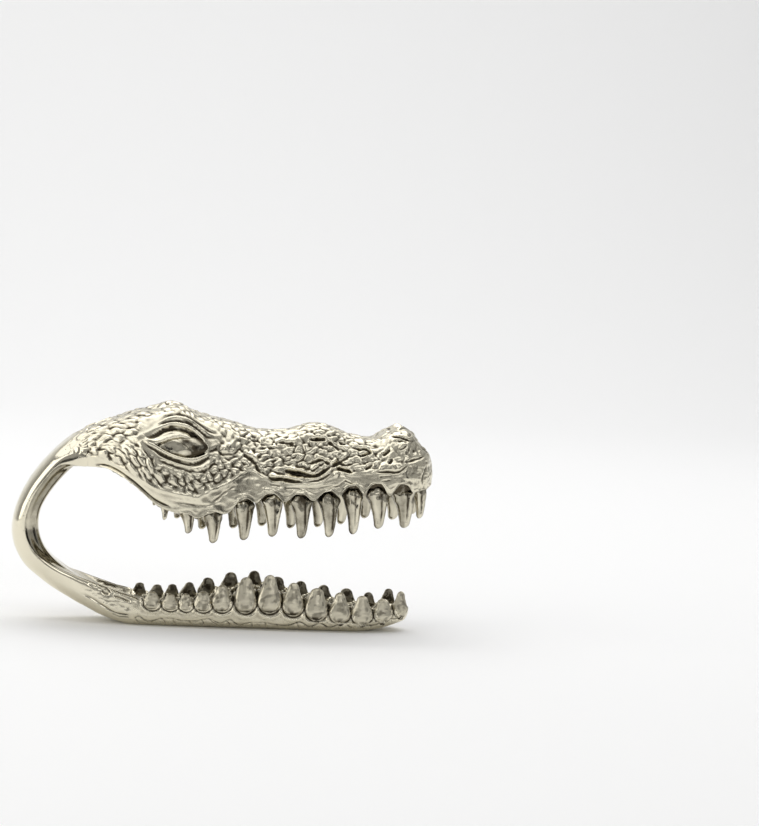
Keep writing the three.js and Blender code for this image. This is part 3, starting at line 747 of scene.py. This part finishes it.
def upper_tooth(number, spec, word, side):
    """A curved fang: wide and lumpy at the root, tapering as a power of the way along, round at the tip,
    with a blunt ridge down its front and back."""
    x, z, radius = spec
    root_x = x - ROOT_BACK
    lip_y = min(float(lip_half(root_x)), float(lip_half(x + radius)))
    t = (1 - (1 - np.linspace(0, 1, 60)[:, None]) ** 1.9) ** 0.9
    turn = np.linspace(0, 2 * np.pi, 48, endpoint=False)[None, :]
    c, s = np.cos(turn), np.sin(turn)
    ridge = 1 + 0.06 * np.cos(2 * turn) + 0.03 * np.cos(3 * turn + number) * (1 - t)
    p = np.stack(np.broadcast_arrays(c * 1.2 + number * 3.7, s * 1.2 + side * 9, 4 * t), -1)
    lump = 1 + (0.16 * (1 - smooth(0.2, 0.55, t)) + 0.035) * rough(p * 1.3, 2, 71)
    size = radius * fang_taper(t) * round_tip(t, 0.89) * ridge * lump
    root = (root_x, side * (lip_y - 1.35), float(lip_edge(root_x)) + 1.2)
    rings = peg(root, (x, side * (lip_y - 0.75), z), t, size * c, 0.88 * size * s, 0.28)
    stained = rough(p * [0.8, 0.8, 0.35], 3, 75)
    midway = stretch(0.1, 0.3, 0.7, 0.9, t)
    # Painted reflection: a dark streak down one side of each fang, wavering with the stain noise. Painted
    # shade: the front and back flanks, darker than the faces. The even darkening, the root's patina, the
    # patina in the dents and the stain noise are the metal's own.
    streak = hill((turn - 4.4 + 0.25 * stained) % (2 * np.pi) - np.pi, 0.16) * midway
    at_root = 0.9 * (1 - smooth(0.02, 0.13, t))
    dents = 3.0 * np.clip(0.97 - lump, 0, 1) * (1 - smooth(0.3, 0.6, t))
    cheeks = 0.27 + 0.32 * smooth(0.62, 0.97, np.abs(c))
    dark = np.clip(at_root + dents + cheeks + 0.80 * streak + 0.28 * stained, 0, 1)
    piece = tube_mesh(f"fang_{word}_{number:02d}", rings, dark)
    return finished(piece, "head", [f"upper_tooth_{word}_{number:02d}"], TOOTH_METAL)


# ---------------------------------------------------------------- the lower jaw's lines and teeth

JAW_BACK, JAW_FRONT = -12.0, 24.6

# The lower jaw's half width, the height of its rim and the height of its sole: [x, value].
jaw_half = curve([
    [-12, 4.2], [-8, 4.5], [0, 4.8], [8, 4.8], [14, 4.5], [18, 4.0], [21.5, 3.1], [23.6, 2.1], [24.6, 1.2],
])
jaw_rim = curve([
    [-12, 3.8], [-9, 3.1], [-3, 3.1], [0, 4.0], [4, 4.9], [8.5, 4.3], [12, 3.7], [17, 3.1], [20, 2.8],
    [22.5, 3.3], [24.6, 3.4],
])
jaw_keel = curve([[17, 0], [18, 0.03], [20, 0.3], [22, 0.8], [24.6, 1.7]])

# Lower teeth of the right side, back to front: [x, z of the base, z of the tip, radius].
LOWER_TEETH = [
    [-9.4, 2.5, 4.5, 0.8], [-7.1, 2.5, 4.3, 0.8], [-5.1, 2.5, 4.4, 0.7], [-2.9, 2.5, 4.8, 0.85],
    [-0.5, 2.6, 5.7, 0.95], [2.5, 2.6, 6.8, 1.05], [5.6, 2.7, 7.2, 1.15], [8.7, 2.4, 6.3, 1.05],
    [11.8, 1.9, 5.7, 1.1], [14.9, 1.6, 5.2, 1.05], [17.9, 1.4, 4.8, 1.05], [20.8, 1.7, 4.4, 0.95],
    [23.3, 2.2, 5.3, 0.75],
]
LEFT_BACK, LEFT_LOW = 1.0, 0.25
tooth_foot = curve([[x, base] for x, base, _, _ in LOWER_TEETH])


def lower_spec(spec, side):
    """A lower tooth's x, base, tip and radius: the left row stands further back and rises a quarter
    less."""
    x, base, tip, radius = spec
    if side < 0:
        return x, base, tip, radius
    return x - LEFT_BACK, base, tip - LEFT_LOW * max(tip - LOWER_TEETH[0][2], 0), radius


# Half width and half thickness of a lower tooth as shares of its radius: [way from foot to tip, share].
petal_outline = curve([
    [0, 0.34], [0.05, 0.74], [0.14, 1.12], [0.28, 1.32], [0.42, 1.30], [0.62, 1.03], [0.82, 0.74],
    [1, 0.54],
])
petal_thickness = curve([[0, 0.2], [0.06, 0.55], [0.2, 0.72], [0.5, 0.66], [0.8, 0.46], [1, 0.25]])
petal_fullness = curve([[0.28, 0], [0.42, 0], [0.62, 1], [0.82, 1], [1, 1]])
FOOT_DROP = 0.35


def lower_tooth(number, spec, word, side):
    """A leaf-shaped tooth: rounded at the foot, widest at a third, drawn to a blunt point, its section a
    superellipse so that its faces are flat and its edges bevelled."""
    x, base, tip, radius = lower_spec(spec, side)
    t = 1 - (1 - np.linspace(0, 1, 56)[:, None]) ** 1.5
    turn = np.linspace(0, 2 * np.pi, 56, endpoint=False)[None, :]
    fuller = 0.06 * np.sin(number * 2.4 + side) * petal_fullness(t)
    outline = (petal_outline(t) + fuller) * round_tip(t, 0.88)
    thick = petal_thickness(t) * round_tip(t, 0.86)
    c, s = np.cos(turn), np.sin(turn)
    flat_c, flat_s = np.sign(c) * np.abs(c) ** 0.7, np.sign(s) * np.abs(s) ** 0.55
    p = np.stack(np.broadcast_arrays(c + number * 5.1, s + side * 3, 3 * t), -1)
    lump = 1 + 0.09 * rough(p * 1.3, 3, 81) + 0.10 * hill(c, 0.22) * (s > 0) * smooth(0.15, 0.4, t)
    foot = (x - 0.1, side * (jaw_half(x) - 0.35), base - FOOT_DROP)
    point = (x, side * (jaw_half(x) - 0.9), tip)
    rings = peg(foot, point, t, radius * outline * lump * flat_c, radius * thick * lump * flat_s, 0.0)
    pitted = smooth(0.25, 0.6, rough(p * 2.5, 2, 85))
    # Painted shade on the face turned in towards the other row; the foot's patina, the pitting and the
    # patina in the dents are the metal's own.
    inner_face_shade = 0.6 * smooth(0.2, -0.4, s)
    dents = 2.0 * np.clip(0.95 - lump, 0, 1)
    dark = np.clip(0.8 * (1 - smooth(0.0, 0.14, t)) + 0.45 * pitted + inner_face_shade + dents, 0, 1)
    piece = tube_mesh(f"petal_{word}_{number:02d}", rings, dark)
    node = f"lower_tooth_{word}_{number:02d}"
    return finished(piece, "lower_jaw", [node], PETAL_METAL)


# ---------------------------------------------------------------- the lower jaw


def jaw_side(x, side):
    """Half sections of the jaw on one side at stations x, from the middle of the sole out, up to the edge
    under the teeth, in over the gum's crest, and down to the middle of the bed: lists of y and z."""
    half, keel, rim = jaw_half(x), jaw_keel(x), jaw_rim(x)
    notch = np.zeros_like(x)
    for spec in LOWER_TEETH:
        at, _, _, radius = lower_spec(spec, side)
        notch = np.maximum(notch, hill(x - at, 0.9 * radius))
    toothed = smooth(-11.6, -10, x) * (1 - smooth(23.9, JAW_FRONT, x))
    edge = np.minimum(tooth_foot(x if side < 0 else x + LEFT_BACK) + 1.15 - 1.25 * notch, rim - 0.1)
    sole = np.minimum(2.7, 0.6 * half)
    bed = 2.2 + 0.25 * keel + 0.55 * (1 - smooth(-11.5, -8.5, x)) + (rim - 2.9) * smooth(21.8, 23.6, x)
    crest = rim + 0.35 - 0.6 * notch
    narrow = np.minimum(1, half / 3.2)
    insets = [half - inset * narrow for inset in (0.16, 0.5, 0.85, 1.2, 1.7, 2.1)]
    y = [0 * x, 0.6 * sole, sole, 0.88 * half, half, half] + insets + [0.25 * half, 0 * x]
    toothless = [rim - 0.9, rim - 0.35, rim, rim - 0.1, rim - 0.35, rim - 0.65]
    cut = [edge - 0.35, edge, edge - 0.30, crest - 0.55, crest, crest - 0.15]
    upper = [a + (b - a) * toothed for a, b in zip(toothless, cut)]
    z = [keel, keel, keel + 0.02, keel + 0.7, keel + 1.4] + upper + [bed + 0.3, bed, bed]
    return y, z


def mandible():
    """The lower jaw as a closed grid of sections, drawn in at the front by a quarter of an ellipse. Its
    outer side has a wavy line of scutes along the lower edge, a groove and a rim run round the foot of each
    tooth, and its gum is pitted between them."""
    t = np.linspace(0, 1, 380)
    x = JAW_BACK + (JAW_FRONT - JAW_BACK) * (1 - (1 - t) ** 1.15) ** 0.95
    right_y, right_z = jaw_side(x, -1)
    left_y, left_z = jaw_side(x, 1)
    y = np.stack([-v for v in right_y] + left_y[-2:0:-1], -1)
    z = np.stack(right_z + left_z[-2:0:-1], -1)
    y, z = np.concatenate([y, y[:, :1]], 1), np.concatenate([z, z[:, :1]], 1)
    spread = curve([[0, 0], [0.12, 2], [0.26, 4], [0.46, 6], [0.70, 9], [0.85, 11], [1, 13]])
    half = spread(np.linspace(0, 1, 119))
    place = np.concatenate([half, 26 - half[-2:0:-1]])
    rings = sections(x, y, z, place)
    nose_end = np.sqrt(1 - (0.9 * np.clip((x - 23.8) / 0.8, 0, 1)) ** 2)[:, None, None]
    middle = rings.mean(axis=1, keepdims=True)
    rings[..., 1:] = middle[..., 1:] + (rings[..., 1:] - middle[..., 1:]) * nose_end
    level = np.minimum(place, 26 - place)[None, :]
    px, pz = rings[..., 0], rings[..., 2]
    above = pz - jaw_keel(px)
    wave = above - 1.0 - 0.30 * np.sin(px * 1.6 + 1.6 * np.sin(px * 0.55)) - 0.25 * noise(rings * 0.5, 90)
    on_side = stretch(2.2, 3.2, 5.4, 6.2, level)
    height = -0.19 * hill(wave, 0.15) * on_side * (0.65 + 0.35 * noise(rings * 0.45, 92))
    slants = np.abs(((px * 0.62 + 0.5 * pz + 0.25 * noise(rings * 0.8, 91)) % 1) - 0.5)
    height -= 0.10 * hill(slants, 0.09) * on_side * smooth(0.3, -0.3, wave)
    height += 0.05 * rough(rings * 0.9, 3, 93) * on_side
    on_gum = stretch(6.3, 7.2, 10.5, 11.5, level)
    on_gum = on_gum * stretch(-10.5, -9, 21.5, 23.8, px)
    height += 0.22 * rough(rings * 2.0, 2, 95) * on_gum
    height += 0.08 * rough(rings * 1.2, 2, 97) * smooth(10.5, 11.5, level)
    height += 0.10 * hill(level - 5.9, 0.4) * smooth(-11.5, -10, px)
    stain = np.zeros(height.shape)
    for side in (-1, 1):
        for spec in LOWER_TEETH:
            at, base, tip, radius = lower_spec(spec, side)
            tall = 0.35 * (tip - base + FOOT_DROP)
            foot = np.hypot((px - at) / (1.32 * radius), np.minimum(pz - base + FOOT_DROP - tall, 0) / tall)
            here = smooth(3.2, 4.2, level) * (rings[..., 1] * side > 0)
            height += here * (0.10 * hill(foot - 1.34, 0.13) - 0.12 * hill(foot - 1.07, 0.09))
            stain = np.maximum(stain, here * hill(foot - 1.08, 0.09) * (1 - smooth(6.0, 6.8, level)))
    ends = smooth(0, 0.8, px - JAW_BACK) * smooth(0, 1.2, JAW_FRONT - px)
    height = height * ends * smooth(0.02, 0.35, above)
    moved = rings + outward(rings) * height[..., None]
    groove = stretch(6.2, 6.9, 8.2, 9.0, level) * smooth(-11.2, -10, px)
    # Patina in the carved lines and the ring round each tooth's foot, darker along the gutter where the
    # teeth stand, and painted shade over the bed between the rows, under the skull.
    dark = carved(height, 8, 0.08) * 0.9 + 0.5 * groove + 0.45 * smooth(9.8, 11, level) + 0.7 * stain
    dark = np.clip(dark, 0, 1)
    piece = tube_mesh("jaw", moved, dark, 0.0, True, (0.9, 0.0))
    return finished(piece, "lower_jaw", ["mandible"], JAW_METAL)


# ---------------------------------------------------------------- the bow

# The bow's outer and inner middle lines, (x, z) from the skull round to the jaw, and its half width by the
# share of the way passed.
bow_outer = np.array([
    (-18.6, 24.8), (-20.7, 23.5), (-22.7, 21.7), (-24.8, 19.1), (-26.6, 15.9), (-27.5, 12.5), (-27.2, 9.7),
    (-25.8, 7.3), (-23.5, 5.3), (-20.5, 3.5), (-17.4, 1.9), (-14.5, 0.7), (-12, 0.1),
]).T
bow_inner = np.array([
    (-18.6, 20.2), (-20.2, 19.4), (-21.7, 18.1), (-23.0, 16.3), (-24.0, 14.1), (-24.1, 11.9), (-23.4, 10.0),
    (-22.1, 8.6), (-20.2, 7.4), (-18.0, 6.4), (-15.9, 5.4), (-13.9, 4.6), (-12, 4.1),
]).T
bow_half = curve([[0, 4.0], [0.2, 3.4], [0.42, 2.9], [0.7, 3.3], [1, 4.2]])

# Lines cut into the bow where it widens to the jaw: (half width, depth, [x, z] points).
BOW_LINES = [
    (0.16, 0.20, [(-17.6, 5.2), (-17.0, 4.9), (-16.4, 4.9)]),
    (0.20, 0.26, [(-15.9, 4.5), (-15.4, 4.1), (-14.9, 4.0)]),
    (0.12, 0.16, [(-15.3, 4.9), (-14.9, 4.4), (-14.7, 4.1)]),
    (0.16, 0.20, [(-14.4, 3.8), (-13.6, 3.7), (-12.6, 3.3), (-12.0, 3.1)]),
    (0.14, 0.20, [(-18.6, 3.9), (-17.2, 3.4), (-15.6, 2.4), (-14.2, 1.6), (-12.9, 1.4), (-12.0, 1.5)]),
    (0.12, 0.14, [(-14.6, 1.5), (-13.4, 1.0), (-12.0, 1.1)]),
]


def even_points(line, count):
    """A line of points as count points at equal steps along its length."""
    run = np.concatenate([[0], np.cumsum(np.linalg.norm(np.diff(line, axis=0), axis=1))])
    even = np.linspace(0, run[-1], count)
    return np.stack([np.interp(even, run, line[:, k]) for k in range(line.shape[1])], -1)


def bow():
    """The bow, as rings of two runs of points: outside from the right ridge to the left, and inside back
    again. Each ring is a mixture of the skull's last section, a band with a round back, two ridges and a
    narrower inner face, and the lower jaw's first section; the hide's carving runs out on to it from the
    skull."""
    outer_count, inner_count = 181, 91
    arch = skull_arch(np.array([SKULL_BACK]), np.linspace(0, 8, 400))[0][:, 1:]
    vault = skull_hollow(np.array([SKULL_BACK]), np.linspace(0, 12, 400))[0][:, 1:]
    neck_top, neck_thick = bow_outer[1, 0], bow_outer[1, 0] - bow_inner[1, 0]
    neck = [(line - [0, neck_top]) / [bow_half(0), -neck_thick] for line in (arch, vault)]
    a = np.linspace(0, np.pi, 200)
    across = -np.sign(np.cos(a)) * np.abs(np.cos(a)) ** 0.9
    round_back = np.stack([across, 0.44 - 0.44 * np.sin(a) ** 0.9], -1)
    face = spline(np.array([[1, 0.93, 0.80, 0.68, 0.5, 0, -0.5, -0.68, -0.80, -0.93, -1],
                            [0.44, 0.56, 0.72, 0.90, 0.985, 1.0, 0.985, 0.90, 0.72, 0.56, 0.44]]),
                  np.linspace(0, 10, 200)).T
    right_y, right_z = (np.array(v)[:, 0] for v in jaw_side(np.array([JAW_BACK]), -1))
    section = spline(np.stack([right_y, right_z]), np.linspace(0, 13, 400)).T
    top = np.argmax(section[:, 1])
    under, bed = section[: top + 1], section[top:]
    under = np.concatenate([(under * [-1, 1])[::-1], under[1:]])
    bed = np.concatenate([bed, (bed * [-1, 1])[-2::-1]])
    jaw_low, jaw_thick = bow_outer[1, -1], bow_inner[1, -1] - bow_outer[1, -1]
    jaw = [(line - [0, jaw_low]) / [bow_half(1), jaw_thick] for line in (under, bed)]

    t = np.linspace(0, 1, 320)
    counts = (outer_count, inner_count)
    kinds = [np.concatenate([even_points(line, count) for line, count in zip(kind, counts)])
             for kind in (neck, (round_back, face), jaw)]
    from_neck = (1 - smooth(0.0, 0.20, t))[:, None, None]
    to_jaw = smooth(0.40, 0.92, t)[:, None, None]
    shape = kinds[0] * from_neck + kinds[1] * (1 - from_neck) * (1 - to_jaw) + kinds[2] * to_jaw
    out, inn = spline(bow_outer, t * 12).T[:, None, :], spline(bow_inner, t * 12).T[:, None, :]
    middle = out + (inn - out) * shape[..., 1:]
    rings = np.stack([middle[..., 0], bow_half(t)[:, None] * shape[..., 0], middle[..., 1]], -1)

    run = np.concatenate([[0], np.cumsum(np.linalg.norm(np.diff(out[:, 0], axis=0), axis=1))])
    s, girth = side_length(rings[:, :outer_count])
    x = SKULL_BACK - run[:, None] + 0 * s
    height = np.zeros(rings.shape[:2])
    height[:, :outer_count] = hide(x, s, girth, rings[:, :outer_count])
    swell = 0.04 * rough(rings * 0.35, 2, 61) * smooth(0.02, 0.12, t)[:, None]
    swell[:, outer_count:] *= 0.35
    height += swell
    near_jaw = smooth(0.72, 0.92, t)[:, None]
    height += 0.035 * rough(rings * [0.8, 1.2, 1.6], 3, 63) * near_jaw
    for width, depth, line in BOW_LINES:
        away, along, _ = from_line(rings[..., 0], rings[..., 2], line)
        cut = depth * hill(away, width) * stretch(0, 0.2, 0.8, 1, along)
        cut[:, outer_count:] = 0
        height -= cut * smooth(1.6, 2.4, np.abs(rings[..., 1])) * near_jaw
    height *= smooth(0, 0.03, 1 - t)[:, None]
    rings = rings + outward(rings) * height[..., None]
    dark = carved(height, 10, 0.09)
    # Patina in the carved lines outside; painted shade over the inner face, deeper on its two bevels along
    # the upper arm and towards the jaw, and a painted dark line along each of its edges.
    from_middle = np.abs(np.linspace(-1, 1, inner_count))[None, :]
    bevel_shade = 0.30 * hill(from_middle - 0.62, 0.2) * (1 - smooth(0.45, 0.6, t))[:, None]
    dark[:, outer_count:] = np.maximum(dark[:, outer_count:], 0.12 + bevel_shade + 0.2 * near_jaw)
    dark[:, outer_count:] += 0.35 * hill(from_middle - 0.97, 0.05)
    worn = np.ones(dark.shape)
    worn[:, :outer_count] = np.maximum(smooth(-16.5, -20.5, x), 1 - smooth(-0.2, 0.2, s - band_top(x)))
    worn -= smooth(0.76, 1.0, t)[:, None]
    piece = tube_mesh("bow", rings, dark, np.clip(worn, 0, 1), True, (0.0, 0.9))
    finished(piece, None, ["bow_upper_arm", "bow_lower_arm"], CARVED)
    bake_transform(piece)
    return piece


# ---------------------------------------------------------------- putting it together

skull()
bow()
mandible()
for word, side in SIDES:
    eye(word, side)
    for number, spec in enumerate(UPPER_TEETH, 1):
        upper_tooth(number, spec, word, side)
    for number, spec in enumerate(LOWER_TEETH, 1):
        lower_tooth(number, spec, word, side)

# ---------------------------------------------------------------- floor, light and camera


def plain(name, colour, roughness):
    """A material of one colour."""
    material = bpy.data.materials.new(name)
    material.use_nodes = True
    shader = material.node_tree.nodes["Principled BSDF"]
    shader.inputs["Base Color"].default_value = (*colour, 1)
    shader.inputs["Roughness"].default_value = roughness
    return material


def sweep():
    """A pale floor that curves up into a backdrop behind the clip: a straight line, a quarter circle and a
    straight line, carried sideways."""
    back, radius, reach = 0.32, 0.25, 1.2
    bend = np.linspace(0, np.pi / 2, 24)
    y = np.concatenate([[-reach], back + radius * np.sin(bend), [back + radius]])
    z = np.concatenate([[0], radius * (1 - np.cos(bend)), [reach]])
    points = [(x, float(b), float(c)) for x in (-reach, reach) for b, c in zip(y, z)]
    n = len(y)
    mesh = bpy.data.meshes.new("backdrop")
    mesh.from_pydata(points, [], [(i, n + i, n + i + 1, i + 1) for i in range(n - 1)])
    mesh.polygons.foreach_set("use_smooth", [True] * (n - 1))
    mesh.materials.append(plain("pale_paper", (0.93, 0.93, 0.93), 0.9))
    placed("backdrop", mesh)


def softbox(name, place, aim, size, brightness, tint=(1, 1, 1)):
    """A rectangular lamp facing aim; its power is its brightness times its area times pi."""
    lamp = bpy.data.lights.new(name, "AREA")
    lamp.shape = "RECTANGLE"
    lamp.size, lamp.size_y = size
    lamp.energy = brightness * size[0] * size[1] * math.pi
    lamp.color = tint
    holder = placed(name, lamp)
    holder.location = place
    holder.rotation_euler = (Vector(aim) - Vector(place)).to_track_quat("-Z", "Y").to_euler()


def dark_card(name, start, end, height):
    """A black card standing upright on the floor between two places, out of the camera's sight; it only
    shows as a dark streak in polished metal and shades nothing."""
    corners = [(*start, 0), (*end, 0), (*end, height), (*start, height)]
    mesh = bpy.data.meshes.new(name)
    mesh.from_pydata(corners, [], [(0, 1, 2, 3)])
    mesh.materials.append(plain("black_card", (0.01, 0.01, 0.01), 0.9))
    card = placed(name, mesh)
    card.visible_camera = False
    card.visible_diffuse = False
    card.visible_shadow = False


def lights():
    """An even white room, four softboxes and two dark cards round the clip."""
    world = bpy.data.worlds.new("studio")
    world.use_nodes = True
    world.node_tree.nodes["Background"].inputs["Color"].default_value = (1, 1, 1, 1)
    world.node_tree.nodes["Background"].inputs["Strength"].default_value = 0.34
    bpy.context.scene.world = world
    middle = (0, 0, 0.015)
    softbox("top_light", (0.0, 0.06, 0.42), middle, (0.80, 0.56), 1.06)
    softbox("left_light", (-0.40, -0.14, 0.18), middle, (0.42, 0.36), 1.35, (1.0, 0.985, 0.95))
    softbox("front_light", (0.18, -0.45, 0.26), middle, (0.30, 0.10), 1.6)
    softbox("backdrop_light", (0.0, 0.25, 0.62), (0.0, 0.6, 0.1), (0.7, 0.2), 2.2)
    dark_card("left_card", (-0.062, -0.105), (-0.070, -0.24), 0.10)
    dark_card("right_card", (0.090, -0.070), (0.078, -0.115), 0.10)


# The camera's place and aim: degrees, metres, and the lens in mm on a 36 mm sensor.
TURN, RAISE, ROLL = -7, 7, 3.2
AWAY, AIM_RIGHT, AIM_UP, LENS = 0.32, 0.020226, 0.013241, 107.4334


def camera():
    """The camera: AWAY from the clip's middle, turned TURN degrees round it and RAISE up, and aimed beside
    it so that the clip lies low and to the left of the frame, with a slight roll."""
    turn, rise, roll = (math.radians(degrees) for degrees in (TURN, RAISE, ROLL))
    low, high = (np.array(corner) for corner in CAD_BOX)
    middle = (low + high) / 2
    back = np.array([math.sin(turn) * math.cos(rise), -math.cos(turn) * math.cos(rise), math.sin(rise)])
    level = np.array([math.cos(turn), math.sin(turn), 0])
    upright = np.cross(back, level)
    right = math.cos(roll) * level + math.sin(roll) * upright
    up = math.cos(roll) * upright - math.sin(roll) * level
    place = middle + back * AWAY
    aim = middle + right * AIM_RIGHT + up * AIM_UP
    lens = bpy.data.cameras.new("camera")
    lens.sensor_width = 36.0
    lens.lens = LENS
    holder = placed("camera", lens)
    z = Vector(place - aim).normalized()
    x = Vector(up).cross(z).normalized()
    y = z.cross(x)
    holder.matrix_world = Matrix.Translation(Vector(place)) @ Matrix((x, y, z)).transposed().to_4x4()
    bpy.context.scene.camera = holder


sweep()
lights()
camera()
bpy.context.scene.view_settings.view_transform = "Standard"
